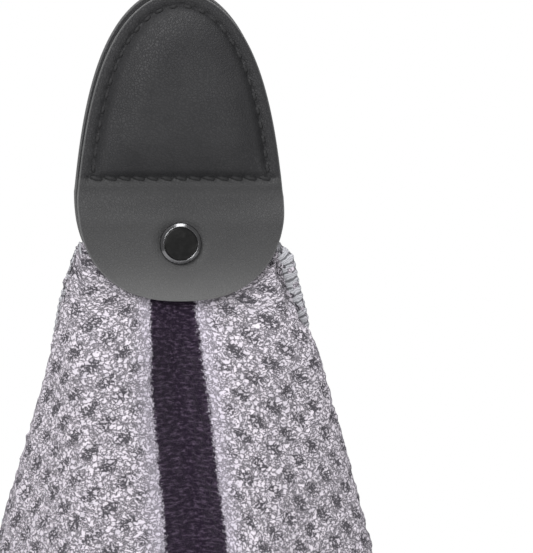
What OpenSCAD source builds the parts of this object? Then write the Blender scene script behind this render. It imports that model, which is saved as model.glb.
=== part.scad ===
// Magnetic golf towel: a leather patch with a magnet in its upper half, a snap flap,
// and a waffle-weave towel that hangs from an eyelet behind the flap.
// +Z up, the front faces -Y. The origin is on the back face over the middle of the magnet.

/* [Leather patch] */
// Width of the patch
patch_w = 62; // [50:1:90]
// Height of the patch
patch_h = 91.7; // [70:0.5:130]
// Distance from the top edge down to the middle of the magnet
magnet_drop = 31.2; // [22:1:45]
// Thickness of one layer of leather
leather_t = 1.4; // [1:0.1:2.4]
// Distance from the top edge down to the row of stitches across
seam_drop = 55.2; // [40:1:80]
// How far the padded half stands out in front of the back face
pad_h = 8.2; // [7.6:0.1:12]
// How far the back layer stands out past the front layer at the left
back_left = 0.2; // [0:0.1:1.2]
// How far the back layer stands out past the front layer at the top
back_up = 1.8; // [0:0.1:2.5]

/* [Stitching] */
// Distance of the curved stitch row from the edge
stitch_inset = 3.9; // [3:0.1:4.2]
// Length of one stitch
stitch_pitch = 4.36; // [3:0.02:6]
// Thickness of the thread
thread_d = 0.7; // [0.4:0.05:0.8]

/* [Magnet] */
// Diameter of the magnet disc
magnet_d = 26; // [16:1:27]
// Thickness of the magnet disc
magnet_t = 3; // [2:0.1:3.2]

/* [Snap] */
// Height of the snap above the bottom edge of the patch
snap_rise = 17.1; // [14:0.1:24]
// Diameter of the snap cap
cap_d = 12.5; // [10:0.1:15]
// Space between the two leather flaps at the snap
flap_gap = 4.2; // [4:0.1:6]
// How much further the lower edge of the flap curls forward
flap_curl = 2.6; // [0:0.1:5]

/* [Towel] */
// Width of the towel laid flat
towel_w = 300; // [200:5:420]
// Height of the towel laid flat
towel_l = 280; // [180:5:420]
// Distance from the snap up to the top edge of the towel
towel_top = 9.5; // [9:0.5:11]
// Thickness of the cloth
cloth_t = 2.2; // [1.5:0.1:2.6]
// Width of the overlocked hem
hem_w = 3.5; // [2.5:0.1:5]
// Depth of the valley in which the dark stripe hangs
valley_d = 6.5; // [2:0.5:14]

/* [Hidden] */
$fn = 48;

leather_c = [0.19, 0.19, 0.20];
thread_c = [0.08, 0.08, 0.09];
metal_c = [0.10, 0.10, 0.11];
cloth_c = [0.78, 0.74, 0.80];
hem_c = [0.62, 0.61, 0.66];

// Patch outline: a tall superellipse arch on a shorter, squarer bowl
half_w = patch_w / 2;
z_top = magnet_drop;
z_bot = z_top - patch_h;
arch_h = 0.663 * patch_h;
bowl_h = patch_h - arch_h;
z_wide = z_top - arch_h;
arch_n = 2.05;
bowl_n = 2.4;
z_seam = z_top - seam_drop;
z_cut = z_seam - 1.4;
z_hinge = z_cut - 1.1;
y_seam = -2 * leather_t;
barrel_r = leather_t / 2;
z_snap = z_bot + snap_rise;
y_in = -leather_t - flap_gap;
y_out = y_in - leather_t;
pad_z = 2;

function spow(v, p) = sign(v) * pow(abs(v), p);
function out_n(a) = sin(a) >= 0 ? arch_n : bowl_n;
function out_h(a) = sin(a) >= 0 ? arch_h : bowl_h;
// The arch is drawn in a little halfway up, so that the patch is egg-shaped
function taper(a) = sin(a) > 0 ? 1 - 0.04 * sin(180 * pow(sin(a), 1.6 / arch_n)) : 1;
function outline(a) = [half_w * spow(cos(a), 2 / out_n(a)) * taper(a), z_wide + out_h(a) * spow(sin(a), 2 / out_n(a))];
// Angle at which the arch crosses a given height
function arch_angle(z) = asin(pow((z - z_wide) / arch_h, arch_n / 2));

module egg() {
    polygon([for (i = [0:143]) outline(i * 2.5)]);
}

// Stand a drawing in the XZ plane, from y0 (front) to y1 (back)
module slab(y0, y1) {
    translate([0, y1, 0]) rotate([90, 0, 0]) linear_extrude(height = y1 - y0) children();
}

// A disc whose axis runs along Y
module disc(r, y0, y1, z = 0) {
    translate([0, y1, z]) rotate([90, 0, 0]) cylinder(r = r, h = y1 - y0);
}

// The padded half: rings of the arch drawn in toward its middle, each at its own depth
cut_a = arch_angle(z_cut);
dome_n = 72;
function arch_pt(i) = outline(cut_a + (180 - 2 * cut_a) * i / dome_n);
function ring(s, y) = [for (i = [0:dome_n]) let (p = arch_pt(i)) [p[0] * s, y, pad_z + (p[1] - pad_z) * s]];

module loft(rows) {
    m = dome_n + 1;
    pts = [for (r = rows) each ring(r[0], r[1])];
    sides = [for (k = [0:len(rows) - 2], i = [0:m - 1]) let (j = (i + 1) % m)
        [k * m + j, k * m + i, (k + 1) * m + i, (k + 1) * m + j]];
    first = [for (i = [0:m - 1]) i];
    last = [for (i = [m - 1:-1:0]) (len(rows) - 1) * m + i];
    polyhedron(points = pts, faces = concat([first], sides, [last]), convexity = 4);
}

pad_rows = [[0.84, 0], [0.79, 0.18], [0.69, 0.55], [0.57, 0.82], [0.42, 0.95], [0.22, 1]];
pad_rise = pad_h - 2 * leather_t;

// Points of the curved stitch row, evenly spaced along it
function inset_pt(a) = let (p = outline(a), q0 = outline(a - 0.5), q1 = outline(a + 0.5), t = q1 - q0)
    p + stitch_inset * [-t[1], t[0]] / norm(t);
row_a0 = arch_angle(z_seam + 0.5);
row_n = 90;
row_pts = [for (i = [0:row_n]) inset_pt(row_a0 + (180 - 2 * row_a0) * i / row_n)];
function run(i) = i == 0 ? 0 : run(i - 1) + norm(row_pts[i] - row_pts[i - 1]);
row_run = [for (i = [0:row_n]) run(i)];
row_x = [for (i = [0:row_n]) [row_run[i], row_pts[i][0]]];
row_z = [for (i = [0:row_n]) [row_run[i], row_pts[i][1]]];
edge_n = round(row_run[row_n] / stitch_pitch);
edge_pts = [for (i = [0:edge_n]) let (s = row_run[row_n] * i / edge_n) [lookup(s, row_x), lookup(s, row_z)]];
cross_half = row_pts[0][0] - 1.2;
cross_n = round(2 * cross_half / stitch_pitch);
cross_pts = [for (i = [0:cross_n]) [-cross_half + 2 * cross_half * i / cross_n, z_seam]];

hole_r = thread_d / 2 + 0.12;

module thread_holes() {
    for (p = concat(edge_pts, cross_pts)) translate([p[0], 1, p[1]]) rotate([90, 0, 0])
        cylinder(r = hole_r, h = 12);
}

// One thread of a lockstitch: a post in every hole, and on the surface a flat-sided run
// between posts, level with them, that overlaps each one
module thread(pts, y, mid) {
    r = thread_d / 2;
    past = sign(y - mid) * 0.3;
    for (p = pts) translate([p[0], max(y + past, mid), p[1]]) rotate([90, 0, 0])
        cylinder(r = r, h = abs(y + past - mid));
    slab(y - 0.28, y + 0.28) for (i = [0:len(pts) - 2]) {
        d = pts[i + 1] - pts[i];
        translate(pts[i]) rotate(atan2(d[1], d[0])) translate([0, -0.24]) square([norm(d), 0.48]);
    }
}

module back_panel() {
    color(leather_c) difference() {
        slab(-leather_t, 0) translate([-back_left, back_up]) egg();
        thread_holes();
        groove(edge_pts);
        groove(cross_pts);
        disc(1.3, -5, 1, z_snap);
        disc(4.3, -0.74, 1, z_snap);
    }
}

// Shallow channel in the back face in which the lower thread lies below the surface
module groove(pts) {
    for (i = [0:len(pts) - 2]) {
        d = pts[i + 1] - pts[i];
        translate([pts[i][0], 0, pts[i][1]]) rotate([0, atan2(d[0], d[1]), 0])
            translate([-0.5, -0.78, -0.5]) cube([1, 2, norm(d) + 1]);
    }
}

module front_panel() {
    outer = concat([[1, -leather_t], [1, y_seam]], [for (r = pad_rows) [r[0], y_seam - pad_rise * r[1]]]);
    inner = concat([[0.83, 1 - leather_t]], [for (r = pad_rows) [r[0] - 0.02, -leather_t - pad_rise * r[1]]]);
    color(leather_c) difference() {
        loft(outer);
        loft(inner);
        thread_holes();
    }
}

y_mag = -leather_t - 0.1;
module magnet() {
    color([0.62, 0.62, 0.64]) disc(magnet_d / 2, y_mag - magnet_t, y_mag);
}

module steel_keeper() {
    color([0.5, 0.5, 0.52]) disc(magnet_d / 2 + 1, y_mag - magnet_t - 0.65, y_mag - magnet_t - 0.05);
}

module foam_pad() {
    color([0.3, 0.3, 0.3]) disc(magnet_d / 2 - 1.5, y_mag - magnet_t - 1.6, y_mag - magnet_t - 0.7);
}

module magnet_frame() {
    color([0.35, 0.35, 0.36]) difference() {
        slab(y_mag - 2.1, y_mag) polygon([for (i = [0:dome_n]) let (p = arch_pt(i))
            [p[0] * 0.67, pad_z + (p[1] - pad_z) * 0.67]]);
        disc(magnet_d / 2 + 0.3, -10, 1);
    }
}

y_mid = -leather_t;
y_thread = y_seam - thread_d / 2 - 0.02;
module edge_thread_top() {
    color(thread_c) thread(edge_pts, y_thread, y_mid - 0.05);
}

module edge_thread_bobbin() {
    color(thread_c) thread(edge_pts, -thread_d / 2 - 0.04, y_mid + 0.05);
}

module cross_thread_top() {
    color(thread_c) thread(cross_pts, y_thread, y_mid - 0.05);
}

module cross_thread_bobbin() {
    color(thread_c) thread(cross_pts, -thread_d / 2 - 0.04, y_mid + 0.05);
}

// Snap: a turned profile, r outward and y toward the back
module turned(profile) {
    translate([0, 0, z_snap]) rotate([90, 0, 0]) rotate_extrude()
        polygon([for (p = profile) [p[0], -p[1]]]);
}

module snap_stud() {
    y0 = -leather_t;
    color(metal_c) turned([[1.25, y0], [4, y0], [4, y0 - 0.5], [3.6, y0 - 0.8], [1.75, y0 - 0.8],
        [1.75, y0 - 1.7], [2.2, y0 - 2.1], [2.2, y0 - 2.6], [1.8, y0 - 3], [0, y0 - 3],
        [0, y0 - 2.6], [1.25, y0 - 2.6]]);
}

module stud_rivet() {
    color(metal_c) turned([[0, -0.02], [3.6, -0.02], [4.2, -0.3], [4.2, -0.7], [1.2, -0.7],
        [1.2, -leather_t - 2.4], [0, -leather_t - 2.4]]);
}

// Outer face of the flap: it climbs over the snap, then curls forward at the lower edge
ramp = 11;
curl_z = z_snap - 4.6;
function step01(v) = v <= 0 ? 0 : v >= 1 ? 1 : v * v * (3 - 2 * v);
function flap_y(z) = y_seam + (y_out - y_seam) * step01((z_hinge - z) / ramp)
    - (z < curl_z ? flap_curl * pow((curl_z - z) / (curl_z - z_bot), 2) : 0);

module front_flap() {
    zs = [for (i = [0:28]) z_hinge - (z_hinge - z_bot + 1) * i / 28];
    color(leather_c) difference() {
        union() {
            intersection() {
                slab(-20, 0) egg();
                translate([-half_w, 0, 0]) rotate([90, 0, 90]) linear_extrude(height = patch_w)
                    polygon(concat([for (z = zs) [flap_y(z), z]],
                        [for (i = [28:-1:0]) [flap_y(zs[i]) + leather_t, zs[i]]]));
            }
            translate([-hinge_half, y_seam + barrel_r, z_hinge]) rotate([0, 90, 0])
                cylinder(r = barrel_r, h = 2 * hinge_half);
        }
        disc(1.75, -20, 0, z_snap);
    }
}

hinge_half = half_w - 0.15;

module snap_cap() {
    r = cap_d / 2;
    color(metal_c) turned([[0, y_out - 1.3], [4.9, y_out - 1.3], [5.1, y_out - 1.7], [5.5, y_out - 1.7],
        [r - 0.2, y_out - 0.9], [r, y_out - 0.4], [r - 0.1, y_out], [1.7, y_out], [1.7, y_in + 0.9],
        [2.2, y_in + 1.05], [0, y_in + 1.05]]);
}

module snap_socket() {
    color([0.32, 0.32, 0.34]) turned([[1.75, y_in], [4.9, y_in], [4.9, y_in + 0.6], [4.5, y_in + 2.7],
        [2.7, y_in + 2.7], [2.7, y_in + 0.85], [1.75, y_in + 0.85]]);
}

module snap_spring() {
    color([0.75, 0.75, 0.77]) for (s = [-1, 1]) translate([s * 2.45, y_in + 2.3, z_snap - 0.9])
        cylinder(r = 0.2, h = 1.8, $fn = 16);
}

// ---- Towel. d is the depth below the snap; the cloth leaves the flap 60 mm wide.
// Past x = lip the sheet fans round the lip in straight rays: ang 0 hangs straight down,
// ang 90 is the cloth that was level with the snap. The fan is gathered into five layers.
lip = 30;
y_cloth = -leather_t - flap_gap / 2 + 0.2;
d_top = 19;
side_w = towel_w / 2 - lip;
drop_l = towel_l - towel_top;

fan_x = [[0, 0], [9, 0.13], [15, 0.215], [19.5, 0.27], [22.5, 0.285], [26, 0.26], [38, 0.07], [42, 0.035],
    [46, 0.07], [58, 0.26], [62, 0.285], [66, 0.26], [79, 0.06], [83, 0.03], [87, 0.06], [100, 0.25],
    [115, 0.34]];
fan_y = [[0, 0], [9, 0.07], [15, 0.12], [19.5, 0.16], [22.5, 0.195], [26, 0.23], [38, 0.245], [42, 0.275],
    [46, 0.305], [58, 0.32], [62, 0.35], [66, 0.38], [79, 0.395], [83, 0.425], [87, 0.455], [100, 0.47],
    [115, 0.47]];

function ease(d, d0, d1) = step01((d - d0) / (d1 - d0));
// How far forward the front of the towel hangs
function y_front(d) = y_cloth - 0.11 * d + 0.11 * max(0, d - 90) - 6 * ease(d, 100, 265);
// The left side spreads past the middle of the towel, the right side turns away
function spread(side, d) = side < 0 ? 1 + 0.25 * ease(d, 95, 165) - 0.25 * ease(d, 165, 265)
    : 1 - 0.5 * ease(d, 85, 200);
function turn(side, ang, d) = side < 0 ? 0
    : 0.1 * ease(d, 85, 200) * (ang < 24 ? sin(ang * 7.5) : 0);
// How far the folds at each side stand out past straight rays from the lip
function swell(side, ang, d) = ease(ang, 2, 16)
    * (side > 0 ? 2.2 * ease(d, 8, 34) : -2.5 * ease(d, 5, 50) * (1 - ease(d, 90, 130)));
function fan_len(ang) = norm([1, lookup(ang, fan_x), lookup(ang, fan_y)]);

// A point of the fan, given the ray and the distance along it
function fan_pt(side, ang, rho) = let (d = rho / fan_len(ang))
    [side * (lip + spread(side, d) * lookup(ang, fan_x) * d + swell(side, ang, d)),
     y_front(d) + (lookup(ang, fan_y) + turn(side, ang, d)) * d, z_snap - d];

// A point of the front, between the two lips; the stripe lies in the valley
function squeeze(d) = 0.32 + 0.47 * ease(d, 5, 50) + 0.19 * ease(d, 50, 130);
function stripe_x(d) = -3.5 + 12.5 * ease(d, 0, 140) - 6.5 * ease(d, 170, 275);
function valley(d) = valley_d * ease(d, 12, 34) * (1 - 0.75 * ease(d, 30, 200));
function front_pt(u, d) = let (s = abs(u) / lip, w = 1 - pow(s, 2),
    x = u * (squeeze(d) * (1 - s) + s) + stripe_x(d) * pow(1 - s * s, 2))
    [x, y_front(d) + valley(d) * (1.2 * (1 - ease(s, 0.06, 0.6)) - 2 * s * (1 - s)), z_snap - d];

// Ray lengths to a rectangle inset by m from the edge of the towel
function ray_end(ang, m) = ang <= 90
    ? min((side_w - m) / max(sin(ang), 0.001), (drop_l - m) / max(cos(ang), 0.001))
    : min((side_w - m) / sin(ang), (towel_top - m) / -cos(ang));

rays = [0, 5, 10, 15, 19.5, 22.5, 24, 26, 32, 38, 42, 46, 52, 58, 62, 66, 72, 79, 83, 87, 91.5, 93.5, 96, 100, 106];
cols = [24, 18, 12, 8, 4, 0];
rows = 12;

// One column of cloth from its upper end to a margin m inside the edge
function fan_col(side, ang, m) = let (r0 = d_top * fan_len(ang), r1 = max(r0 + 1.5, ray_end(ang, m)))
    [for (k = [0:rows]) fan_pt(side, ang, r0 + (r1 - r0) * k / rows)];
function front_col(u, m) = [for (k = [0:rows]) front_pt(u, d_top + (drop_l - m - d_top) * k / rows)];

function sheet_t(p) = cloth_t * min(1, (z_snap - p[2]) / 32);

// Close a grid of points into a sheet of even thickness
module sheet(grid) {
    n = len(grid);
    m = len(grid[0]);
    nrm = [for (i = [0:n - 1]) [for (k = [0:m - 1])
        let (a = grid[min(i + 1, n - 1)][k] - grid[max(i - 1, 0)][k],
             b = grid[i][min(k + 1, m - 1)] - grid[i][max(k - 1, 0)], c = cross(a, b)) c / norm(c)]];
    f = [for (i = [0:n - 1]) for (k = [0:m - 1]) grid[i][k] + nrm[i][k] * sheet_t(grid[i][k]) / 2];
    b = [for (i = [0:n - 1]) for (k = [0:m - 1]) grid[i][k] - nrm[i][k] * sheet_t(grid[i][k]) / 2];
    o = n * m;
    fa = [for (i = [0:n - 2], k = [0:m - 2]) each let (a = i * m + k)
        [[a, a + 1, a + m + 1], [a, a + m + 1, a + m]]];
    ba = [for (i = [0:n - 2], k = [0:m - 2]) each let (a = o + i * m + k)
        [[a, a + m + 1, a + 1], [a, a + m, a + m + 1]]];
    e0 = [for (k = [0:m - 2]) each [[k, o + k, o + k + 1], [k, o + k + 1, k + 1]]];
    e1 = [for (k = [0:m - 2]) each let (a = (n - 1) * m + k) [[a, a + 1, o + a + 1], [a, o + a + 1, o + a]]];
    s0 = [for (i = [0:n - 2]) each let (a = i * m) [[a, a + m, o + a + m], [a, o + a + m, o + a]]];
    s1 = [for (i = [0:n - 2]) each let (a = i * m + m - 1) [[a, o + a, o + a + m], [a, o + a + m, a + m]]];
    polyhedron(points = concat(f, b), faces = concat(fa, ba, e0, e1, s0, s1), convexity = 10);
}

// Cloth held between the flaps: it turns about the snap without meeting the seam above
plate_t = 1.8;
module held_outline(m) {
    hull() {
        circle(r = towel_top - m);
        polygon([[31, 1 - m], [35.6, -d_top - 1.5], [-35.6, -d_top - 1.5], [-31, 1 - m]]);
    }
}

module held_cloth(m) {
    slab(y_cloth - plate_t / 2, y_cloth + plate_t / 2) translate([0, z_snap]) held_outline(m);
}

module towel_cloth() {
    left = [for (i = [len(rays) - 1:-1:0]) fan_col(-1, rays[i], hem_w + 0.1)];
    mid = concat([for (u = cols) front_col(-u, hem_w + 0.1)],
        [for (i = [len(cols) - 2:-1:0]) front_col(cols[i], hem_w + 0.1)]);
    right = [for (a = rays) fan_col(1, a, hem_w + 0.1)];
    color(cloth_c) {
        sheet(concat(left, mid, right));
        difference() {
            held_cloth(2.1);
            disc(5.9, -20, 5, z_snap);
        }
    }
}

module towel_eyelet() {
    y0 = y_cloth - plate_t / 2 - 0.05;
    color([0.2, 0.2, 0.21]) turned([[5.3, y0 - 0.5], [6.6, y0 - 0.5], [7, y0 - 0.25], [7, y0], [5.8, y0],
        [5.8, y_cloth + plate_t / 2 + 0.3], [5.3, y_cloth + plate_t / 2 + 0.3]]);
}

module eyelet_washer() {
    y0 = y_cloth + plate_t / 2 + 0.05;
    color([0.2, 0.2, 0.21]) turned([[5.85, y0], [7, y0], [7, y0 + 0.25], [6.6, y0 + 0.45], [5.85, y0 + 0.45]]);
}

// A strip of hem from the inner margin to the edge, over some of the rays
module fan_hem(side, angs) {
    g = [for (a = angs) let (r0 = ray_end(a, hem_w), r1 = ray_end(a, 0))
        [for (k = [0:2]) fan_pt(side, a, r0 + (r1 - r0) * k / 2)]];
    sheet(side > 0 ? g : [for (i = [len(g) - 1:-1:0]) g[i]]);
}

module hem_top() {
    color(hem_c) {
        slab(y_cloth - plate_t / 2, y_cloth + plate_t / 2) translate([0, z_snap]) difference() {
            held_outline(0);
            held_outline(2);
            translate([-40, -40]) square([80, 39]);
        }
        for (s = [-1, 1]) fan_hem(s, [94.6, 96, 98, 100, 103, 106]);
    }
}

module hem_bottom() {
    a = [0, 5, 10, 15, 19.5, 22.5, 23.6];
    hb = concat([for (i = [6:-1:0]) [-1, a[i]]], [for (u = cols) [0, -u]],
        [for (i = [len(cols) - 2:-1:0]) [0, cols[i]]], [for (v = a) [1, v]]);
    g = [for (h = hb) [for (k = [0:2]) let (m = hem_w * (1 - k / 2))
        h[0] == 0 ? front_pt(h[1], drop_l - m) : fan_pt(h[0], h[1], ray_end(h[1], m))]];
    color(hem_c) sheet(g);
}

side_rays = [24.1, 26, 32, 38, 42, 46, 52, 58, 62, 66, 72, 79, 83, 87, 91.5, 92.9];
module hem_left() {
    color(hem_c) fan_hem(-1, side_rays);
}

module hem_right() {
    color(hem_c) fan_hem(1, side_rays);
}

back_panel();
front_panel();
magnet();
steel_keeper();
magnet_frame();
foam_pad();
edge_thread_top();
edge_thread_bobbin();
cross_thread_top();
cross_thread_bobbin();
snap_stud();
stud_rivet();
front_flap();
snap_cap();
snap_socket();
snap_spring();
towel_cloth();
towel_eyelet();
eyelet_washer();
hem_top();
hem_bottom();
hem_left();
hem_right();
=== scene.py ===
"""Looks of the magnetic golf towel: a leather patch, a snap, and a waffle towel with a dark stripe.

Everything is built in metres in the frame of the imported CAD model: +Z up, the front faces -Y, the
origin on the back face over the middle of the magnet. Sizes below are in millimetres and repeat the
driving dimensions of part.scad.
"""

import math

import bpy
import numpy as np
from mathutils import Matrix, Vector
from mathutils.kdtree import KDTree


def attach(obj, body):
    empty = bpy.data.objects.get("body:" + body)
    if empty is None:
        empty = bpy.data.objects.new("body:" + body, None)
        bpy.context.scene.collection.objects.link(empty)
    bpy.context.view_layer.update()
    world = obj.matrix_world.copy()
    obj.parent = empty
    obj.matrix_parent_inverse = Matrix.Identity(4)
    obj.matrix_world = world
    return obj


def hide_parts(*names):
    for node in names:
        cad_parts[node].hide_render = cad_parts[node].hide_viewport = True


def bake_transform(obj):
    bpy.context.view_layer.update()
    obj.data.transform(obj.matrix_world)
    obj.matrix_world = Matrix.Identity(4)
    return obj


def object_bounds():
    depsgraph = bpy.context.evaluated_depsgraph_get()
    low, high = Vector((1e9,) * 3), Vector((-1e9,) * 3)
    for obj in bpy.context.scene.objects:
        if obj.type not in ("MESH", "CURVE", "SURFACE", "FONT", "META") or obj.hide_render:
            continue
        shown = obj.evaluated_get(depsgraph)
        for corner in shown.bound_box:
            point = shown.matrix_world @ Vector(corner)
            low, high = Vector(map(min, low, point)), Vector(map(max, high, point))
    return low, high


MM = 0.001
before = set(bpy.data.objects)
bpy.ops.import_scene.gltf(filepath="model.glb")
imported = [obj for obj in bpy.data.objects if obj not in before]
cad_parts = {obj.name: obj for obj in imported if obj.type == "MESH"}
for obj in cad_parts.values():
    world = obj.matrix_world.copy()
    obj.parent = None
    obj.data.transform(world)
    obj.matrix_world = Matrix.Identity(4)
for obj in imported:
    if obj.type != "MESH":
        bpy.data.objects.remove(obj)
cad_box = [list(map(float, c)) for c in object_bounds()]
rng = np.random.default_rng(7)

# ---------------------------------------------------------------- dimensions, in millimetres

# Patch: two layers of leather, a tall arch on a squarer bowl
PATCH_W, PATCH_H = 62.0, 91.7
PATCH_X = 0.5  # middle of the front layer
Z_TOP = 31.2
Z_BOT = Z_TOP - PATCH_H
ARCH_H = 0.663 * PATCH_H
BOWL_H = PATCH_H - ARCH_H
Z_WIDE = Z_TOP - ARCH_H
ARCH_N, BOWL_N = 2.05, 2.4  # powers of the two superellipses
TAPER = 0.04  # share of the width by which the arch is drawn in, halfway up
LEATHER_T = 1.4
PAD_H = 8.2  # from the back face to the highest point of the pad
BACK_SHIFT = (-0.8, 1.8)  # x and z by which the back layer stands out from the front one

# Seam across the patch, the fold line under it, and the thread
Z_SEAM = Z_TOP - 55.2
Z_HINGE = Z_SEAM - 2.5
Y_SEAM = -2 * LEATHER_T
STITCH_INSET, STITCH_PITCH, THREAD_D = 3.9, 4.36, 0.95
CROSS_COUNT = 13

# Snap, and the flap that steps out over the stud and the cloth
Z_SNAP = Z_BOT + 17.1
CAP_R = 6.25
FLAP_GAP = 4.2
Y_OUT = -2 * LEATHER_T - FLAP_GAP
RAMP = 12.0  # height over which the flap steps out
CURL, CURL_Z = 2.6, Z_SNAP - 4.6  # how far the lower edge curls out, and where the curl starts

# Towel: a flat sheet with a stripe down the middle and a hole near the top
TOWEL_W, TOWEL_L = 300.0, 280.0
TOWEL_TOP = 9.5  # length of cloth above the snap's axis
CLOTH_T, PLATE_T = 2.2, 1.5  # thickness of loose cloth, and of cloth held in the patch
LIP = 30.0  # half width of the front, where the sheet turns back at each side
Y_CLOTH = -LEATHER_T - FLAP_GAP / 2 + 0.2
EYELET_R = 5.8
STRIPE_HALF = 10.75
WEAVE = 12.5  # side of the weave's square repeat
LATTICE = ((1, 1), (2, -1), (1, -2))  # waves in a repeat, whose sum peaks at its three dark marks

# Overlocked hem
HEM_W, HEM_HALF_T = 3.5, 1.42
WRAP = 2.4  # from one wrap of the thread to the next
RIB, RIB_LEAN = 0.16, 1.2  # height of a wrap, and its slant in radians
HEM_STEP, HEM_SIDES = 0.42, 20


def step01(v):
    """Smooth step from 0 at v = 0 to 1 at v = 1."""
    v = np.clip(v, 0, 1)
    return v * v * (3 - 2 * v)


def ease(d, d0, d1):
    """Smooth step from 0 at d0 to 1 at d1."""
    return step01((d - d0) / (d1 - d0))


# ---------------------------------------------------------------- mesh and material helpers


def make_object(name, verts, faces, body, materials, face_material=None):
    """Millimetre vertices to a mesh piece that rides on a CAD body."""
    mesh = bpy.data.meshes.new(name)
    mesh.from_pydata((np.asarray(verts) * MM).tolist(), [], faces)
    mesh.update()
    mesh.polygons.foreach_set("use_smooth", np.full(len(mesh.polygons), True))
    for material in materials:
        mesh.materials.append(material)
    if face_material is not None:
        mesh.polygons.foreach_set("material_index", np.asarray(face_material, dtype=np.int32))
    obj = bpy.data.objects.new(name, mesh)
    bpy.context.scene.collection.objects.link(obj)
    if body:
        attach(obj, body)
    return obj


def set_uv(obj, uv):
    """Flat coordinates of cloth or hem, in millimetres, one pair for each vertex."""
    mesh = obj.data
    layer = mesh.uv_layers.new(name="flat")
    index = np.empty(len(mesh.loops), dtype=np.int32)
    mesh.loops.foreach_get("vertex_index", index)
    layer.data.foreach_set("uv", np.asarray(uv, dtype=np.float32)[index].ravel())


def set_value(obj, name, values):
    """A number for each vertex, for a material to read."""
    layer = obj.data.attributes.new(name, "FLOAT", "POINT")
    layer.data.foreach_set("value", np.asarray(values, dtype=np.float32))


def grid_faces(n, m, wrap=False, flip=False):
    """Quads between n rows of m points; wrap joins the last point of a row to its first."""
    i, j = np.meshgrid(np.arange(n - 1), np.arange(m if wrap else m - 1), indexing="ij")
    k = (j + 1) % m
    quads = np.stack([i * m + j, i * m + k, (i + 1) * m + k, (i + 1) * m + j], -1).reshape(-1, 4)
    return (quads[:, ::-1] if flip else quads).tolist()


def end_caps(n, m, flip=False):
    """Faces that close the first and the last of n rings of m points."""
    first, last = list(range(m)), list(range((n - 1) * m, n * m))
    return [first, last[::-1]] if flip else [first[::-1], last]


def rgba(r, g=None, b=None):
    """A colour; one number stands for a grey."""
    return (r, r if g is None else g, r if b is None else b, 1.0)


class Nodes:
    """Short way to write a material's node tree."""

    def __init__(self, name):
        self.material = bpy.data.materials.new(name)
        self.material.use_nodes = True
        self.tree = self.material.node_tree
        self.shader = self.tree.nodes["Principled BSDF"]

    def add(self, kind, **settings):
        """A node; each setting is a property of it or the value of an input."""
        node = self.tree.nodes.new(kind)
        for key, value in settings.items():
            if hasattr(node, key):
                setattr(node, key, value)
            else:
                node.inputs[key.replace("_", " ")].default_value = value
        return node

    def link(self, a, b):
        self.tree.links.new(a, b)

    def put(self, socket, value):
        """A plain value, or another node's output, into a socket."""
        if isinstance(value, (int, float, tuple, list)):
            socket.default_value = value
        else:
            self.link(value, socket)

    def fill(self, node, *values):
        for socket, value in zip(node.inputs, values):
            self.put(socket, value)
        return node.outputs[0]

    def math(self, operation, *values):
        return self.fill(self.add("ShaderNodeMath", operation=operation), *values)

    def plus(self, a, b):
        return self.math("ADD", a, b)

    def minus(self, a, b):
        return self.math("SUBTRACT", a, b)

    def times(self, a, b):
        return self.math("MULTIPLY", a, b)

    def centred(self, noise, amount):
        """A noise of 0 to 1, moved to lie round 0 and scaled."""
        return self.times(self.minus(noise, 0.5), amount)

    def ramp(self, value, low, high, to_low=0.0, to_high=1.0):
        node = self.add("ShaderNodeMapRange", interpolation_type="SMOOTHSTEP")
        return self.fill(node, value, low, high, to_low, to_high)

    def mix(self, factor, a, b):
        node = self.add("ShaderNodeMix", data_type="RGBA")
        for index, value in ((0, factor), (6, a), (7, b)):  # 6 and 7 are the colour inputs
            self.put(node.inputs[index], value)
        return node.outputs[2]

    def position(self):
        """The point in the piece's own metres."""
        return self.add("ShaderNodeTexCoord").outputs["Object"]

    def flat(self):
        """The flat coordinates in millimetres: both together, then each."""
        both = self.add("ShaderNodeUVMap", uv_map="flat").outputs[0]
        parts = self.add("ShaderNodeSeparateXYZ")
        self.link(both, parts.inputs[0])
        return both, parts.outputs[0], parts.outputs[1]

    def value(self, name):
        """A number that set_value gave the vertices."""
        return self.add("ShaderNodeAttribute", attribute_name=name).outputs["Fac"]

    def noise(self, vector, scale, detail, roughness):
        node = self.add("ShaderNodeTexNoise", Scale=scale, Detail=detail, Roughness=roughness)
        self.link(vector, node.inputs["Vector"])
        return node.outputs["Fac"]

    def cells(self, vector, scale, feature="F1"):
        node = self.add("ShaderNodeTexVoronoi", feature=feature, Scale=scale)
        self.link(vector, node.inputs["Vector"])
        return node.outputs

    def warped(self, vector, amount, still, **noise):
        """vector pushed about by a noise, whose value still leaves it in place."""
        push = self.add("ShaderNodeTexNoise", **noise)
        self.link(vector, push.inputs["Vector"])
        offset = self.add("ShaderNodeVectorMath", operation="SUBTRACT")
        self.fill(offset, push.outputs["Color"], (still, still, still))
        scaled = self.add("ShaderNodeVectorMath", operation="SCALE", Scale=amount)
        self.link(offset.outputs[0], scaled.inputs[0])
        return self.fill(self.add("ShaderNodeVectorMath", operation="ADD"), vector, scaled.outputs[0])

    def bump(self, height, strength, distance):
        node = self.add("ShaderNodeBump", Strength=strength, Distance=distance)
        self.link(height, node.inputs["Height"])
        return node.outputs[0]

    def set(self, **values):
        for key, value in values.items():
            self.put(self.shader.inputs[key.replace("_", " ")], value)
        return self.material


# ---------------------------------------------------------------- materials


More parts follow.
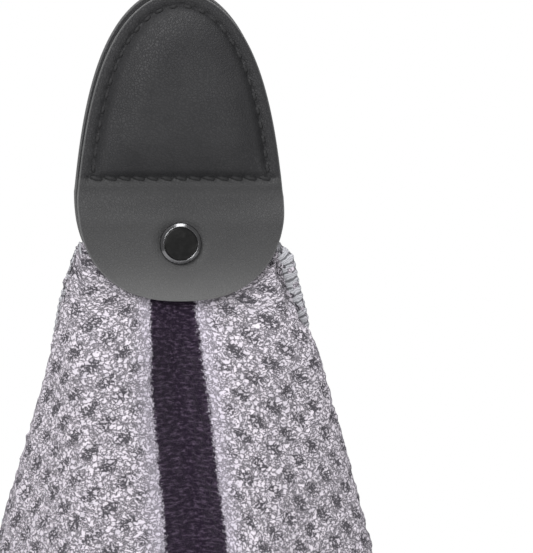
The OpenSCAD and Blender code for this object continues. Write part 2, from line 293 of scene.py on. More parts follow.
def leather_material():
    """Charcoal synthetic leather: fine pebbles with painted shade in the creases between them, paler bare edge,
    and painted light that turns the flap paler towards its lower edge.
    """
    n = Nodes("leather")
    pos = n.position()
    pebbles = n.cells(n.warped(pos, 0.0011, 0.0, Scale=700.0, Detail=3.0), 1150.0, "DISTANCE_TO_EDGE")
    grain = n.ramp(pebbles["Distance"], 0.0, 0.22)
    crease_shade = n.ramp(grain, 0.0, 1.0, 1.0, 0.0)
    fine = n.noise(pos, 2600.0, 3.0, 0.6)
    patchy = n.noise(pos, 90.0, 4.0, 0.55)
    base = n.mix(n.ramp(patchy, 0.3, 0.7), rgba(0.012, 0.012, 0.013), rgba(0.016, 0.016, 0.017))
    # Painted shade: the creases between the pebbles are painted darker.
    base = n.mix(n.times(crease_shade, 0.45), base, rgba(0.007, 0.007, 0.008))
    # Painted light: the flap is painted paler than the pad, most of all towards its curled lower edge.
    base = n.mix(n.value("flap"), base, rgba(0.067))
    base = n.mix(n.times(n.value("edge"), 0.85), base, rgba(0.17))
    rough = n.plus(n.ramp(grain, 0.0, 1.0, 0.68, 0.54), n.times(fine, 0.06))
    height = n.plus(n.plus(n.times(grain, 0.7), n.times(fine, 0.5)), n.times(patchy, 0.6))
    return n.set(Base_Color=base, Roughness=rough, Specular_IOR_Level=0.22,
                 Normal=n.bump(height, 0.55, 0.00022))


def thread_material(name, colour):
    """Twisted sewing thread: fine fibres along the strands."""
    n = Nodes(name)
    fibre = n.noise(n.position(), 5200.0, 4.0, 0.7)
    return n.set(Base_Color=n.mix(fibre, rgba(*(0.5 * c for c in colour)), rgba(*colour)),
                 Roughness=0.75, Specular_IOR_Level=0.2, Normal=n.bump(fibre, 0.5, 0.0001))


def metal_material(name, colour, roughness):
    """Plated metal with faint wipe marks and tiny dents."""
    n = Nodes(name)
    pos = n.position()
    wiped = n.noise(pos, 600.0, 5.0, 0.65)
    dents = n.noise(pos, 260.0, 2.0, 0.5)
    return n.set(Base_Color=n.mix(wiped, rgba(*(0.8 * c for c in colour)), rgba(*colour)), Metallic=1.0,
                 Roughness=n.ramp(wiped, 0.3, 0.75, roughness - 0.05, roughness + 0.05),
                 Normal=n.bump(dents, 0.05, 0.0002))


def enamel_material():
    """Glossy black face of the snap cap."""
    n = Nodes("black_enamel")
    dust = n.noise(n.position(), 900.0, 4.0, 0.6)
    return n.set(Base_Color=n.mix(n.ramp(dust, 0.5, 0.8), rgba(0.003), rgba(0.007)),
                 Roughness=n.ramp(dust, 0.3, 0.8, 0.3, 0.4), Specular_IOR_Level=0.22,
                 Normal=n.bump(dust, 0.04, 0.0001))


def foam_material(name, colour):
    """Open-celled foam or fibre board, for the parts inside the patch."""
    n = Nodes(name)
    cell = n.cells(n.position(), 1800.0)["Distance"]
    return n.set(Base_Color=n.mix(cell, rgba(*(0.6 * c for c in colour)), rgba(*colour)),
                 Roughness=0.9, Normal=n.bump(cell, 0.6, 0.0002))


def towel_material():
    """Looped microfibre: pale loops with painted shade in the gaps between them, a lattice of marks painted
    dark as shade in the weave's pits, a dark stripe.

    It reads the flat coordinates of the cloth, so the pattern turns and narrows with the folds."""
    n = Nodes("towel")
    flat, u, v = n.flat()
    away = n.minus(n.math("ABSOLUTE", u), STRIPE_HALF)
    fibre = n.noise(flat, 3.6, 3.0, 0.65)
    clump = n.noise(flat, 0.5, 3.0, 0.6)

    # Loops, about 1.6 mm across, pushed about so that no two are alike
    moved = n.warped(flat, 4.5, 0.5, Scale=0.6, Detail=3.0, Roughness=0.6)
    between = n.cells(moved, 0.64, "DISTANCE_TO_EDGE")["Distance"]
    tint = n.add("ShaderNodeSeparateColor")
    n.link(n.cells(moved, 0.64)["Color"], tint.inputs[0])

    # Marks where the weave ties down into pits, painted dark as shade in the pits, mirrored about the stripe
    # and faint beside it
    turn = 2 * math.pi / WEAVE
    across, down = n.times(away, turn), n.times(v, turn)
    waves = [n.math("COSINE", n.plus(n.times(across, float(a)), n.times(down, float(b))))
             for a, b in LATTICE]
    marks = n.plus(n.plus(n.plus(waves[0], waves[1]), waves[2]), n.centred(clump, 2.6))
    mark = n.times(n.ramp(marks, -0.6, 3.0), n.ramp(away, 1.5, 9.0, 0.2, 1.0))

    # Painted shade in the gaps between the loops: wider and darker in a mark, paler beside the stripe
    loop = n.ramp(between, 0.0, n.ramp(n.plus(mark, tint.outputs[0]), 0.2, 1.8, 0.20, 0.36))
    dark = n.times(n.minus(1.0, loop), n.ramp(mark, 0.0, 0.6, 0.88, 1.05))
    # More painted shade over each mark's pit, and darker fibres here and there at random
    dark = n.plus(n.plus(dark, n.times(mark, 0.16)), n.ramp(fibre, 0.45, 0.8, 0.0, 0.25))
    dark = n.times(dark, n.ramp(away, 0.0, 7.0, 0.75, 1.0))

    # Painted shade in the groove where the hem thread pulls the cloth down
    from_side = n.minus(TOWEL_W / 2, n.math("ABSOLUTE", u))
    from_edge = n.math("MINIMUM", from_side, n.math("MINIMUM", v, n.minus(TOWEL_L, v)))
    groove = n.ramp(n.math("ABSOLUTE", n.minus(from_edge, HEM_W + 0.9)), 0.3, 0.9, 1.0, 0.0)
    dark = n.plus(dark, n.times(groove, n.ramp(clump, 0.35, 0.5, 0.3, 0.9)))

    pale = n.mix(tint.outputs[1], rgba(0.44, 0.41, 0.455), rgba(0.51, 0.477, 0.52))
    pale = n.mix(n.ramp(away, 0.0, 8.0, 0.6, 0.0), pale, rgba(0.47, 0.435, 0.52))
    pale = n.mix(n.times(n.ramp(tint.outputs[2], 0.6, 0.95), 0.3), pale, rgba(0.30, 0.29, 0.32))
    ground = n.mix(n.math("MINIMUM", dark, 1.0), pale, rgba(0.048, 0.045, 0.052))

    # Stripe with a ragged edge, and threads that run across it
    ragged = n.plus(away, n.centred(n.noise(flat, 0.9, 3.0, 0.7), 4.6))
    squash = n.add("ShaderNodeMapping", Scale=(0.7, 2.2, 1.0))
    n.link(flat, squash.inputs[0])
    threads = n.noise(squash.outputs[0], 0.5, 4.0, 0.75)
    deep = n.mix(n.ramp(threads, 0.45, 0.75), rgba(0.008, 0.004, 0.011), rgba(0.080, 0.058, 0.090))

    lift = n.minus(n.plus(n.times(loop, 0.8), n.times(fibre, 0.5)), n.times(mark, 0.6))
    return n.set(Base_Color=n.mix(n.ramp(ragged, -0.8, 0.6), deep, ground), Roughness=0.95,
                 Specular_IOR_Level=0.1, Sheen_Weight=0.06, Sheen_Roughness=0.5,
                 Sheen_Tint=rgba(0.9, 0.86, 0.95), Normal=n.bump(lift, 0.65, 0.0006))


def hem_material():
    """Pale grey overlock thread: four strands to a wrap and a dark line of painted shade between wraps.

    Its flat u coordinate counts along the hem."""
    n = Nodes("hem_thread")
    flat, u, _ = n.flat()
    phase = n.times(n.plus(u, n.centred(n.noise(flat, 0.7, 2.0, 0.6), 1.6)), 2 * math.pi / WRAP)
    line = n.ramp(n.math("COSINE", phase), -0.97, -0.6, 1.0, 0.0)
    strand = n.math("COSINE", n.times(phase, 4.0))
    fibre = n.noise(flat, 5.0, 3.0, 0.7)
    base = n.mix(n.ramp(n.plus(strand, fibre), -0.6, 1.4), rgba(0.22, 0.22, 0.235), rgba(0.38, 0.38, 0.405))
    # Painted shade in the dark line between the wraps.
    base = n.mix(n.times(line, 0.85), base, rgba(0.05, 0.05, 0.055))
    lift = n.minus(n.plus(n.times(strand, 0.25), n.times(fibre, 0.5)), line)
    return n.set(Base_Color=base, Roughness=0.85, Specular_IOR_Level=0.2, Normal=n.bump(lift, 0.6, 0.0003))


leather = leather_material()
thread_dark = thread_material("thread_dark", (0.018, 0.018, 0.019))
hem_thread = hem_material()
gunmetal = metal_material("gunmetal", (0.16, 0.16, 0.165), 0.2)
enamel = enamel_material()
bright_steel = metal_material("bright_steel", (0.62, 0.62, 0.63), 0.28)
dull_steel = metal_material("dull_steel", (0.42, 0.42, 0.44), 0.38)
socket_metal = metal_material("socket_metal", (0.30, 0.30, 0.31), 0.3)
board = foam_material("foam_board", (0.10, 0.10, 0.10))
foam = foam_material("soft_foam", (0.07, 0.07, 0.075))
towel_cloth = towel_material()

CAD_LOOKS = {"magnet": bright_steel, "steel_keeper": dull_steel, "magnet_frame": board, "foam_pad": foam,
             "snap_stud": gunmetal, "snap_socket": socket_metal, "snap_spring": bright_steel,
             "towel_eyelet": gunmetal, "eyelet_washer": gunmetal}
for node, material in CAD_LOOKS.items():
    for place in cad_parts[node].material_slots:
        place.material = material

# ---------------------------------------------------------------- leather patch: outline and stitch rows


def outline(angle):
    """The front layer's edge in XZ: a superellipse arch, drawn in a little halfway up, on a squarer bowl."""
    c, s = np.cos(angle), np.sin(angle)
    up = s >= 0
    n = np.where(up, ARCH_N, BOWL_N)
    h = np.where(up, ARCH_H, BOWL_H)
    taper = 1 - TAPER * np.sin(math.pi * np.maximum(s, 0) ** (1.6 / ARCH_N))
    x = PATCH_X + PATCH_W / 2 * np.sign(c) * np.abs(c) ** (2 / n) * taper
    return np.stack([x, Z_WIDE + h * np.sign(s) * np.abs(s) ** (2 / n)], -1)


def even_path(points, count, closed=False):
    """count points evenly spaced along a polyline."""
    p = np.vstack([points, points[:1]]) if closed else points
    run = np.concatenate([[0], np.cumsum(np.linalg.norm(np.diff(p, axis=0), axis=1))])
    at = np.linspace(0, run[-1], count + 1 if closed else count)
    out = np.stack([np.interp(at, run, p[:, k]) for k in range(p.shape[1])], -1)
    return out[:-1] if closed else out


def inward(path):
    """Unit normals of a closed XZ polyline that runs anticlockwise, pointing in."""
    t = np.roll(path, -1, 0) - np.roll(path, 1, 0)
    t /= np.linalg.norm(t, axis=1)[:, None]
    return np.stack([-t[:, 1], t[:, 0]], -1)


def stitch_row():
    """Needle holes along the arch, from the right end of the cross row to the left end."""
    path = EDGE + STITCH_INSET * EDGE_IN
    arc = path[path[:, 1] > Z_SEAM + 0.5]
    arc = arc[np.argsort(np.unwrap(np.arctan2(arc[:, 1] - Z_SEAM, arc[:, 0])))]
    length = np.linalg.norm(np.diff(arc, axis=0), axis=1).sum()
    return even_path(arc, round(length / STITCH_PITCH) + 1)


EDGE = even_path(outline(np.linspace(0, 2 * math.pi, 4000, endpoint=False)), 760, closed=True)
EDGE_IN = inward(EDGE)
ARC_HOLES = stitch_row()
CROSS_HOLES = np.stack([np.linspace(ARC_HOLES[-1, 0] - 1, ARC_HOLES[0, 0] + 1, CROSS_COUNT + 1),
                        np.full(CROSS_COUNT + 1, Z_SEAM)], -1)
HOLES = np.vstack([ARC_HOLES, CROSS_HOLES])
ARC_LINE = even_path(ARC_HOLES, 600)
ROWS = np.vstack([ARC_LINE, even_path(CROSS_HOLES, 240)])

# ---------------------------------------------------------------- leather patch: faces


def nearest(points, samples):
    """Distance from each XZ point to the nearest sample."""
    tree = KDTree(len(samples))
    for i, p in enumerate(samples):
        tree.insert((p[0], 0, p[1]), i)
    tree.balance()
    return np.array([tree.find((x, 0, z))[2] for x, z in points])


def bell(d, width):
    return np.exp(-(d / width) ** 2)


def pad_rise(p):
    """0 outside the D that the two stitch rows close, rising softly to 1 over the magnet."""
    r = np.linalg.norm(p - [0, Z_SEAM], axis=1)
    angle = np.arctan2(p[:, 1] - Z_SEAM, p[:, 0])
    arc_angle = np.arctan2(ARC_HOLES[:, 1] - Z_SEAM, ARC_HOLES[:, 0])
    arc_r = np.linalg.norm(ARC_HOLES - [0, Z_SEAM], axis=1)
    inside = (p[:, 1] > Z_SEAM) & (r < np.interp(angle, arc_angle, arc_r))
    from_arc = nearest(p, ARC_LINE) / 12.5
    from_seam = (p[:, 1] - Z_SEAM) / 14
    rise = [1 - (1 - np.clip(d, 0, 1)) ** 2.2 for d in (from_arc, from_seam)]
    return np.where(inside, rise[0] * rise[1], 0)


def flap_y(z):
    """The front layer steps out over the cloth below the fold line, then curls out at its lower edge."""
    t = np.clip((Z_HINGE - z) / RAMP, 0, 1)
    climb = Y_SEAM + (Y_OUT - Y_SEAM) * t**3 * (10 - 15 * t + 6 * t * t)
    return climb - np.where(z < CURL_Z, CURL * (np.maximum(0, CURL_Z - z) / (CURL_Z - Z_BOT)) ** 2, 0)


def stitch_dents(p, depth_row, depth_hole):
    """How far thread pulls the leather in: a soft groove along a row, deeper at each hole, a low swell
    beside it. Also gives the distance to the nearest row."""
    row = nearest(p, ROWS)
    dents = depth_row * bell(row, 1.25) + depth_hole * bell(nearest(p, HOLES), 0.85)
    return dents - 0.16 * bell(row - 2.3, 1.1), row


def front_y(p):
    """Outer face of the front leather, over the pad and down the flap."""
    dents, row = stitch_dents(p, 0.42, 0.34)
    pad = (PAD_H - 2 * LEATHER_T) * pad_rise(p)
    waviness = 0.10 * np.sin(p[:, 0] * 0.21 + 1.3) * np.sin(p[:, 1] * 0.17 + 0.4)
    y = flap_y(p[:, 1]) - pad + dents + waviness * step01(row / 6)
    from_cap = np.hypot(p[:, 0], p[:, 1] - Z_SNAP) - CAP_R
    seat = 0.35 * bell(from_cap, 1.3) - 0.12 * bell(from_cap - 2.6, 1.4)
    return y + np.where(p[:, 1] < Z_SEAM, seat, 0)


def back_y(p):
    """Outer face of the back leather: flat, with a groove that the lower thread lies in."""
    dents, _ = stitch_dents(p, 0.5, 0.25)
    return -np.maximum(dents, 0) - 0.02


# ---------------------------------------------------------------- leather patch: pieces

RING_CENTRE = np.array([0.0, -17.0])
RIM = [(0.30, 0.05), (0.13, 0.15), (0.03, 0.33), (0.0, 0.55), (0.0, 0.85), (0.03, 1.07), (0.13, 1.25),
       (0.30, 1.35), (0.5, 1.4)]  # cut edge of a full layer, rounded at both faces: inset and depth


def leather_shell(outer_y, thickness, side, shift):
    """A closed leather piece in rings round its centre: outer face, cut edge, inner face.

    side is -1 for a piece whose outer face looks to the front, and 1 for the back. Gives the vertices,
    the faces, and how much of the pale cut edge each vertex shows."""
    scale = np.concatenate([np.linspace(0.004, 0.80, 70), np.linspace(0.806, 1, 34)])
    start = EDGE + RIM[-1][0] * EDGE_IN
    flat = np.array([RING_CENTRE + (start - RING_CENTRE) * s for s in scale])
    surface = np.array([outer_y(r + shift) for r in flat])
    rows, ys, edge = list(flat), list(surface), [0.0] * len(flat)
    for inset, depth in RIM:
        rows.append(EDGE + inset * EDGE_IN)
        ys.append(surface[-1] - side * depth * thickness / LEATHER_T)
        edge.append(1.0 if 0.2 < depth < 1.2 else 0.3)
    for k in range(len(flat) - 2, -1, -3):
        rows.append(flat[k])
        ys.append(surface[k] - side * thickness)
        edge.append(0.0)
    rows, ys = np.array(rows), np.array(ys)
    n, m = ys.shape
    verts = np.stack([rows[..., 0] + shift[0], ys, rows[..., 1] + shift[1]], -1).reshape(-1, 3)
    faces = grid_faces(n, m, wrap=True, flip=side > 0) + end_caps(n, m, flip=side > 0)
    return verts, faces, np.repeat(edge, m)


def add_leather(name, body, replaced, outer_y, thickness, side, shift=(0.0, 0.0)):
    """A layer of leather; its value "flap" paints light on the flap: paler than the pad below the seam, and
    paler still towards the lower edge.
    """
    verts, faces, edge = leather_shell(outer_y, thickness, side, shift)
    obj = make_object(name, verts, faces, body, [leather])
    set_value(obj, "edge", edge)
    # Painted light on the flap, growing towards its lower edge.
    down = 1 - np.clip((verts[:, 2] - Z_BOT) / (Z_SEAM - Z_BOT), 0, 1)
    set_value(obj, "flap", np.where(verts[:, 2] < Z_SEAM, 0.22 + 0.78 * down ** 3, 0))
    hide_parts(*replaced)
    return obj


front = add_leather("front_leather", None, ["front_panel", "front_flap"], front_y, LEATHER_T, -1)
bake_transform(front)
add_leather("back_leather", "patch", ["back_panel"], back_y, LEATHER_T - 0.05, 1, shift=BACK_SHIFT)

# ---------------------------------------------------------------- thread


def twisted_stitch(a, b, y, side, span, lean, radius):
    """One stitch between two holes: three strands twisted together, diving into the leather."""
    along = np.array([b[0] - a[0], 0, b[1] - a[1]])
    length = np.linalg.norm(along)
    t = along / length
    out = np.array([0.0, side, 0.0])
    w = np.cross(t, out)
    mid = np.array([(a[0] + b[0]) / 2, y, (a[1] + b[1]) / 2])
    theta = np.linspace(0, 2 * math.pi, 16, endpoint=False)
    rings = []
    for k in np.linspace(-1, 1, 17):
        dive = 0.30 - 0.95 * abs(k) ** 3.2
        c = mid + t * (k * span * length / 2) + out * dive + w * (lean * k)
        strands = 1 + 0.13 * np.cos(3 * (theta + k * 2.6))
        r = radius * (1 - 0.25 * abs(k) ** 4) * strands
        rings.append(c + np.outer(r * np.cos(theta), w) * 1.08 + np.outer(r * np.sin(theta), out) * 0.8)
    n, m = len(rings), len(theta)
    return np.array(rings).reshape(-1, 3), grid_faces(n, m, wrap=True, flip=True) + end_caps(n, m, flip=True)


def add_thread(name, holes, side, face_y, replaced, span, lean=0.0, radius=THREAD_D / 2):
    """A row of stitches, no two alike; span is a stitch's share of the distance between holes."""
    verts, faces, count = [], [], 0
    for a, b in zip(holes[:-1], holes[1:]):
        y = face_y(((a + b) / 2)[None, :])[0]
        jitter = rng.normal(0, 0.03, 2)
        v, f = twisted_stitch(a + jitter, b + jitter, y, side, span * (1 + rng.normal(0, 0.03)), lean, radius)
        verts.append(v)
        faces += [[i + count for i in q] for q in f]
        count += len(v)
    obj = make_object(name, np.vstack(verts), faces, "patch", [thread_dark])
    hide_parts(replaced)


add_thread("edge_stitches_front", ARC_HOLES, -1, front_y, "edge_thread_top", 0.66)
add_thread("cross_stitches_front", CROSS_HOLES, -1, front_y, "cross_thread_top", 0.94, lean=0.42, radius=0.52)
add_thread("edge_stitches_back", ARC_HOLES, 1, back_y, "edge_thread_bobbin", 0.72, radius=0.40)
add_thread("cross_stitches_back", CROSS_HOLES, 1, back_y, "cross_thread_bobbin", 0.8, radius=0.40)

# ---------------------------------------------------------------- snap


def lathe(name, profile, body, materials, replaced, split=None):
    """Turns (radius, y) points round the snap's axis; split is the row where the second material starts."""
    segments = 128
    theta = np.linspace(0, 2 * math.pi, segments, endpoint=False)
    rows = np.array([[[r * math.cos(t), y, Z_SNAP + r * math.sin(t)] for t in theta] for r, y in profile])
    faces = grid_faces(len(profile), segments, wrap=True)
    which = split and [0 if i // segments < split else 1 for i in range(len(faces))]
    obj = make_object(name, rows.reshape(-1, 3), faces, body, materials, face_material=which)
    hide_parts(replaced)


def rounded(profile, radius=0.12, steps=4):
    """Rounds the corners of a profile with short quadratic curves."""
    p = [np.array(q, dtype=float) for q in profile]
    out = [p[0]]
    for a, b, c in zip(p[:-2], p[1:-1], p[2:]):
        ra = min(radius, np.linalg.norm(b - a) * 0.45)
        rc = min(radius, np.linalg.norm(c - b) * 0.45)
        s, e = b + (a - b) / np.linalg.norm(a - b) * ra, b + (c - b) / np.linalg.norm(c - b) * rc
        out += [(1 - k) ** 2 * s + 2 * k * (1 - k) * b + k * k * e for k in np.linspace(0, 1, steps)]
    return [tuple(q) for q in out + [p[-1]]]


# Cap: an enamel disc in a bevelled ring, and the post that goes through the flap
CAP_Y, POST_Y = Y_OUT - 1.35, Y_OUT + LEATHER_T + 0.9
disc = rounded([(0.01, CAP_Y - 0.06), (2.5, CAP_Y - 0.05), (4.7, CAP_Y), (4.95, CAP_Y + 0.22)])
ring = rounded([(5.0, CAP_Y + 0.24), (5.04, CAP_Y - 0.3), (5.16, CAP_Y - 0.34), (6.05, CAP_Y + 0.46),
                (CAP_R, CAP_Y + 0.85), (CAP_R - 0.05, Y_OUT - 0.05), (CAP_R - 0.4, Y_OUT + 0.15),
                (1.75, Y_OUT + 0.1), (1.7, POST_Y), (0.01, POST_Y + 0.1)], radius=0.1, steps=10)
lathe("snap_cap_face", disc + ring, "flap", [enamel, gunmetal], "snap_cap", split=len(disc) - 1)

# Rivet: a low head on the back face, and its shank
SHANK_R, SHANK_Y = 1.2, -LEATHER_T - 2.4
rivet = rounded([(0.01, SHANK_Y), (SHANK_R, SHANK_Y), (SHANK_R, -0.72), (4.15, -0.7), (4.2, -0.5), (4.0, -0.22),
                 (3.4, -0.06), (1.5, -0.08), (1.1, -0.24), (0.01, -0.25)], radius=0.2)
lathe("stud_rivet_head", rivet, "patch", [gunmetal], "stud_rivet")

# ---------------------------------------------------------------- towel: where each point of the cloth hangs

# Section across the gathers of one side: degrees round from straight down, and how far out and back a ray
# of the cloth goes there for each millimetre that it drops. It runs out and back in five layers.
FAN_ANGLE = np.array([0, 9, 15, 19.5, 22.5, 26, 38, 42, 46, 58, 62, 66, 79, 83, 87, 100, 115.0])
FAN_X = np.array([0, .13, .215, .27, .285, .26, .07, .035, .07, .26, .285, .26, .06, .03, .06, .25, .34])
FAN_Y = np.array([0, .07, .12, .16, .195, .23, .245, .275, .305, .32, .35, .38, .395, .425, .455, .47, .47])

# The front: the top edge drops by SHOULDER at each side, and the stripe lies in a valley
SHOULDER, SHOULDER_U = 9.3, 22.0
SHOULDER_B = 20.0  # below this the drop has died out
VALLEY = 6.5


def smooth_curve(x, xs, ys):
    """Cubic through the points, without the corners of a straight-line lookup."""
    slope = np.gradient(ys, xs)
    x = np.clip(x, xs[0], xs[-1])
    k = np.clip(np.searchsorted(xs, x) - 1, 0, len(xs) - 2)
    h = xs[k + 1] - xs[k]
    t = (x - xs[k]) / h
    return ((2 * t**3 - 3 * t**2 + 1) * ys[k] + (t**3 - 2 * t**2 + t) * h * slope[k]
            + (3 * t**2 - 2 * t**3) * ys[k + 1] + (t**3 - t**2) * h * slope[k + 1])


def y_front(d):
    """The front of the cloth at d below the snap: forward as it leaves the patch, then nearly straight down."""
    return Y_CLOTH - 0.11 * d * ease(d, -6, 32) + 0.11 * np.maximum(0, d - 90) - 6 * ease(d, 100, 265)


def fan_point(side, ang, rho):
    """Past the lip the sheet fans out in straight rays that are gathered into layers."""
    gx, gy = smooth_curve(ang, FAN_ANGLE, FAN_X), smooth_curve(ang, FAN_ANGLE, FAN_Y)
    d = rho / np.sqrt(1 + gx**2 + gy**2) * (1 - 1.02 * step01((ang - 100) / 80))
    deep = np.maximum(d, 0)

    # The left side swings out lower down, the right side falls straighter and turns back a little
    left = 1 + 0.25 * ease(d, 95, 165) - 0.25 * ease(d, 165, 265)
    right = 1 - 0.5 * ease(d, 85, 200)
    spread = np.where(side < 0, left, right)
    turn = np.where((side > 0) & (ang < 24), 0.1 * ease(d, 85, 200) * np.sin(np.radians(ang * 7.5)), 0)

    # Near the patch the top hem stands out at the right, and the left side is pulled in
    level = np.clip(rho * np.cos(np.radians(ang)) / TOWEL_TOP + 1, 0, 1)
    hem = (1 - level) * (2.9 + (0.3 - gx) * deep) * (1 - ease(deep, 22, 36))
    fold = level * ease(ang, 2, 16) * (-3.8 + 6 * ease(deep, 8, 34))
    pull = 2.5 * ease(ang, 2, 16) * ease(deep, 5, 50) * (1 - ease(deep, 90, 130))
    swell = np.where(side > 0, step01(deep / 4) * (hem + fold), -pull)

    x = side * (LIP + spread * gx * deep + swell)
    lag = deep * ease(deep, 0, 12)
    return np.stack([x, y_front(deep) + (gy + turn) * lag, Z_SNAP - d], -1)


def front_point(u, b):
    """Between the lips the cloth hangs straight down, squeezed together below the patch."""
    s = np.abs(u) / LIP
    drop = SHOULDER * step01(np.abs(u) / SHOULDER_U)
    d = np.where(b < SHOULDER_B, b + drop * (SHOULDER_B - b) / (SHOULDER_B + TOWEL_TOP), b)
    deep = np.maximum(d, 0)
    squeeze = 0.32 + 0.47 * ease(deep, 5, 50) + 0.19 * ease(deep, 50, 130)
    squeeze = 1 + (squeeze - 1) * ease(deep, 6, 18)
    drift = -3.5 * ease(deep, 6, 18) + 12.5 * ease(deep, 0, 140) - 6.5 * ease(deep, 170, 275)
    x = u * (squeeze * (1 - s) + s) + drift * (1 - s * s) ** 2
    valley = VALLEY * ease(deep, 17, 40) * (1 - 0.75 * ease(deep, 30, 200))
    y = y_front(deep) + valley * (1.2 * (1 - ease(s, 0.06, 0.6)) - 2 * s * (1 - s))
    return np.stack([x, y, Z_SNAP - d], -1)


def hang(u, v):
    """Flat cloth (u across, v down from the top edge) to its place."""
    b = v - TOWEL_TOP
    out = np.abs(u) - LIP
    side = np.where(u < 0, -1.0, 1.0)
    rho = np.hypot(np.maximum(out, 0), b)
    ang = np.degrees(np.arctan2(np.maximum(out, 0), b))
    return np.where((out > 0)[..., None], fan_point(side, ang, rho), front_point(u, b))


# ---------------------------------------------------------------- towel: the sheet


def cloth_grid(step):
    """Flat coordinates of the whole sheet, at points step apart."""
    us = np.linspace(-TOWEL_W / 2, TOWEL_W / 2, round(TOWEL_W / step) + 1)
    vs = np.linspace(0, TOWEL_L, round(TOWEL_L / step) + 1)
    return np.meshgrid(us, vs, indexing="ij")


def soften(a, passes=1):
    """Evens out neighbours along the first axis, in place, and leaves the ends."""
    for _ in range(passes):
        a[1:-1] = (a[:-2] + 2 * a[1:-1] + a[2:]) / 4


def blur(a, passes):
    """soften, along both axes of a grid."""
    for _ in range(passes):
        for axis in (0, 1):
            soften(np.moveaxis(a, axis, 0))
    return a


def unit(vectors, least=1e-9):
    return vectors / np.maximum(np.linalg.norm(vectors, axis=-1, keepdims=True), least)


def weave_height(u, v, step):
    """Relief of the waffle: pits at the dark marks and uneven loops over all of it."""
    away, turn = np.abs(u) - STRIPE_HALF, 2 * math.pi / WEAVE
    marks = sum(np.cos(turn * (a * away + b * v)) for a, b in LATTICE)
    pits = 0.55 * step01((marks - 0.2) / 2.8) * step01((away - 1.5) / 6)
    loops = blur(rng.normal(0, 1, u.shape), max(1, round(0.8 / step)))
    loops /= loops.std()
    return -pits + 0.17 * loops * np.where(away < 0, 0.6, 1.0)


def close_sheet(front, behind, keep):
    """Front and back grids to one closed sheet, leaving out the cells that keep marks False."""
    n, m = front.shape[:2]
    quads = np.array(grid_faces(n, m)).reshape(-1, 4)[keep.ravel()]
    faces = np.vstack([quads, quads[:, ::-1] + n * m])
    edges = np.vstack([quads[:, [0, 1]], quads[:, [1, 2]], quads[:, [2, 3]], quads[:, [3, 0]]])
    key = np.sort(edges, 1)
    _, index, counts = np.unique(key[:, 0] * n * m + key[:, 1], return_index=True, return_counts=True)
    rim = edges[index[counts == 1]]
    walls = np.stack([rim[:, 1], rim[:, 0], rim[:, 0] + n * m, rim[:, 1] + n * m], -1)
    return np.vstack([front.reshape(-1, 3), behind.reshape(-1, 3)]), np.vstack([faces, walls])


STEP = 0.8
U, V = cloth_grid(STEP)
MIDDLE = blur(hang(U, V), max(1, round(2.4 / STEP)))
normal = unit(np.cross(np.gradient(MIDDLE, axis=0), np.gradient(MIDDLE, axis=1)))

# The cloth is thinner in the patch and in the gathers next to it, and its relief starts past the snap
below = Z_SNAP - MIDDLE[..., 2]
front_t = PLATE_T + (CLOTH_T - PLATE_T) * ease(below, 12, 34)
half_t = np.where(np.abs(U) < LIP, front_t, CLOTH_T * np.clip(below / 32, 0.35, 1)) / 2
loose = ease(np.hypot(U, V - TOWEL_TOP), 12, 24)
outer = MIDDLE + normal * (half_t + weave_height(U, V, STEP) * loose)[..., None]
inner = MIDDLE - normal * (half_t + weave_height(U, V, STEP) * loose)[..., None]

from_stud = np.hypot((U[:-1, :-1] + U[1:, 1:]) / 2, (V[:-1, :-1] + V[1:, 1:]) / 2 - TOWEL_TOP)
verts, faces = close_sheet(outer, inner, from_stud > EYELET_R)
used = np.zeros(len(verts), bool)
used[faces.ravel()] = True
renumber = np.cumsum(used) - 1
flat_uv = np.stack([U.ravel(), V.ravel()], -1)
towel = make_object("towel_cloth_visual", verts[used], renumber[faces].tolist(), "towel",
                    [towel_cloth])
set_uv(towel, np.vstack([flat_uv, flat_uv])[used])
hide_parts("towel_cloth")

# ---------------------------------------------------------------- towel: overlocked hems


def overlock(name, u, v, replaced):
    """Thread wrapped over the cut edge, along the flat path (u, v): one rib for each wrap."""
    flat = even_path(np.stack([u, v], -1), round(np.hypot(np.diff(u), np.diff(v)).sum() / HEM_STEP) + 1)
    u, v = flat[:, 0], flat[:, 1]
    in_u = np.where(np.ptp(u) < 1e-6, -np.sign(u), 0.0)
    in_v = np.where(np.ptp(v) < 1e-6, np.where(v < TOWEL_L / 2, 1.0, -1.0), 0.0)
    p = hang(u, v)
    q = hang(u + in_u * HEM_W, v + in_v * HEM_W)
    along = unit(np.gradient(p, axis=0))
    soften(p, 4)
    soften(q, 4)
    inside = q - p
    inside -= along * (inside * along).sum(1)[:, None]
    soften(inside, 40)
    inside = unit(inside, 1e-6)
    n = unit(np.cross(along, inside))

    run = np.arange(len(u)) * HEM_STEP
    thin = np.clip((Z_SNAP - p[:, 2]) / 32, 0.38, 1)[:, None]
    theta = np.linspace(0, 2 * math.pi, HEM_SIDES, endpoint=False)
    rows = []
    for t in theta:
        c, s = math.cos(t), math.sin(t)
        rib = (RIB * np.cos(2 * math.pi * run / WRAP + RIB_LEAN * c))[:, None]
        reach = 0.35 - (0.5 - 0.5 * c) * (HEM_W + 0.9)
        squared = s * (abs(s) ** -0.35 if abs(s) > 1e-3 else 1)
        rows.append(p - inside * reach + n * (squared * (HEM_HALF_T + rib) * thin) - inside * rib * max(0.0, c))
    verts = np.stack(rows, 1)
    faces = grid_faces(len(u), HEM_SIDES, wrap=True) + end_caps(len(u), HEM_SIDES)
    obj = make_object(name, verts.reshape(-1, 3), faces, "towel", [hem_thread])
    lean = RIB_LEAN * np.cos(theta) * WRAP / (2 * math.pi)
    round_hem = np.broadcast_to(theta * 1.2, verts.shape[:2])
    set_uv(obj, np.stack([run[:, None] + lean, round_hem], -1).reshape(-1, 2))
    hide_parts(replaced)
    return obj


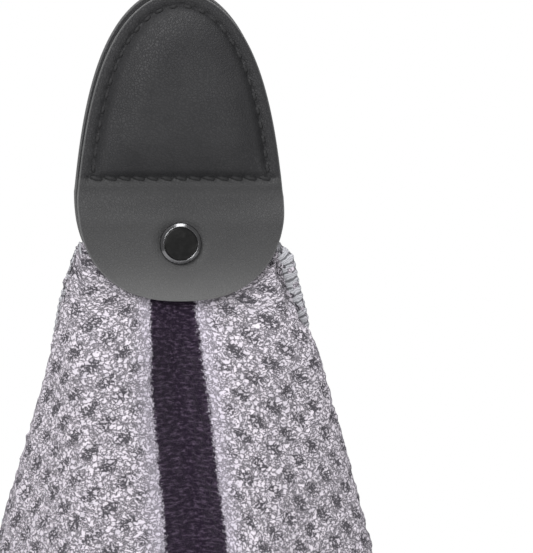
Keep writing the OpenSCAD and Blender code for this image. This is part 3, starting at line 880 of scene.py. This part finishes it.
SIDE = TOWEL_W / 2
way = np.linspace(0, 1, 400)
hems = [overlock("hem_top_overlock", -SIDE + way * TOWEL_W, 0 * way, "hem_top"),
        overlock("hem_bottom_overlock", -SIDE + way * TOWEL_W, TOWEL_L + 0 * way, "hem_bottom"),
        overlock("hem_left_overlock", -SIDE + 0 * way, way * TOWEL_L, "hem_left"),
        overlock("hem_right_overlock", SIDE + 0 * way, way * TOWEL_L, "hem_right")]

# ---------------------------------------------------------------- floor, light and camera

FLOOR_R, FLOOR_SIDES = 620, 96
scene = bpy.context.scene
floor_z = cad_box[0][2] - 0.012
around = np.linspace(0, 2 * math.pi, FLOOR_SIDES, endpoint=False)
disc_xy = np.array([[math.cos(t), math.sin(t)] for t in around]) * FLOOR_R
floor = make_object("floor", np.column_stack([disc_xy, np.full(FLOOR_SIDES, floor_z / MM)]),
                    [list(range(FLOOR_SIDES))], None, [])
paper = Nodes("paper")
floor.data.materials.append(paper.set(Base_Color=rgba(0.86), Roughness=0.85))

# A white studio, which lights the object less than it shows behind it
world = bpy.data.worlds.new("studio")
scene.world = world
world.use_nodes = True
sky = world.node_tree
seen = sky.nodes.new("ShaderNodeLightPath")
level = sky.nodes.new("ShaderNodeMapRange")
sky.links.new(seen.outputs["Is Camera Ray"], level.inputs["Value"])
level.inputs["To Min"].default_value = 0.4
sky.nodes["Background"].inputs[0].default_value = rgba(1.0)
sky.links.new(level.outputs[0], sky.nodes["Background"].inputs[1])
scene.view_settings.view_transform = "Standard"


def area_light(name, place, target, size, power):
    """A rectangular lamp; place, target and size in metres, power in watts."""
    data = bpy.data.lights.new(name, "AREA")
    data.shape, data.size, data.size_y, data.energy = "RECTANGLE", size[0], size[1], power
    lamp = bpy.data.objects.new(name, data)
    lamp.location = place
    lamp.rotation_euler = (Vector(target) - Vector(place)).to_track_quat("-Z", "Y").to_euler()
    scene.collection.objects.link(lamp)


area_light("key", (-0.5, -1.0, 0.5), (0, 0, -0.1), (0.6, 0.6), 20.0)
area_light("top", (0.06, -0.06, 0.5), (0, 0, -0.04), (1.4, 0.16), 6.0)
area_light("fill", (0.7, -0.75, -0.3), (0.05, 0, -0.15), (0.4, 0.6), 5.0)

AZIMUTH, ELEVATION, DISTANCE = math.radians(-7), math.radians(3), 0.69
TARGET = Vector((0.0259, -0.006, -0.0534))
to_camera = Vector((math.sin(AZIMUTH) * math.cos(ELEVATION), -math.cos(AZIMUTH) * math.cos(ELEVATION),
                    math.sin(ELEVATION)))
lens = bpy.data.cameras.new("camera")
lens.lens, lens.sensor_width, lens.clip_start = 150, 36, 0.01
camera = bpy.data.objects.new("camera", lens)
camera.location = TARGET + to_camera * DISTANCE
camera.rotation_euler = (-to_camera).to_track_quat("-Z", "Y").to_euler()
scene.collection.objects.link(camera)
scene.camera = camera
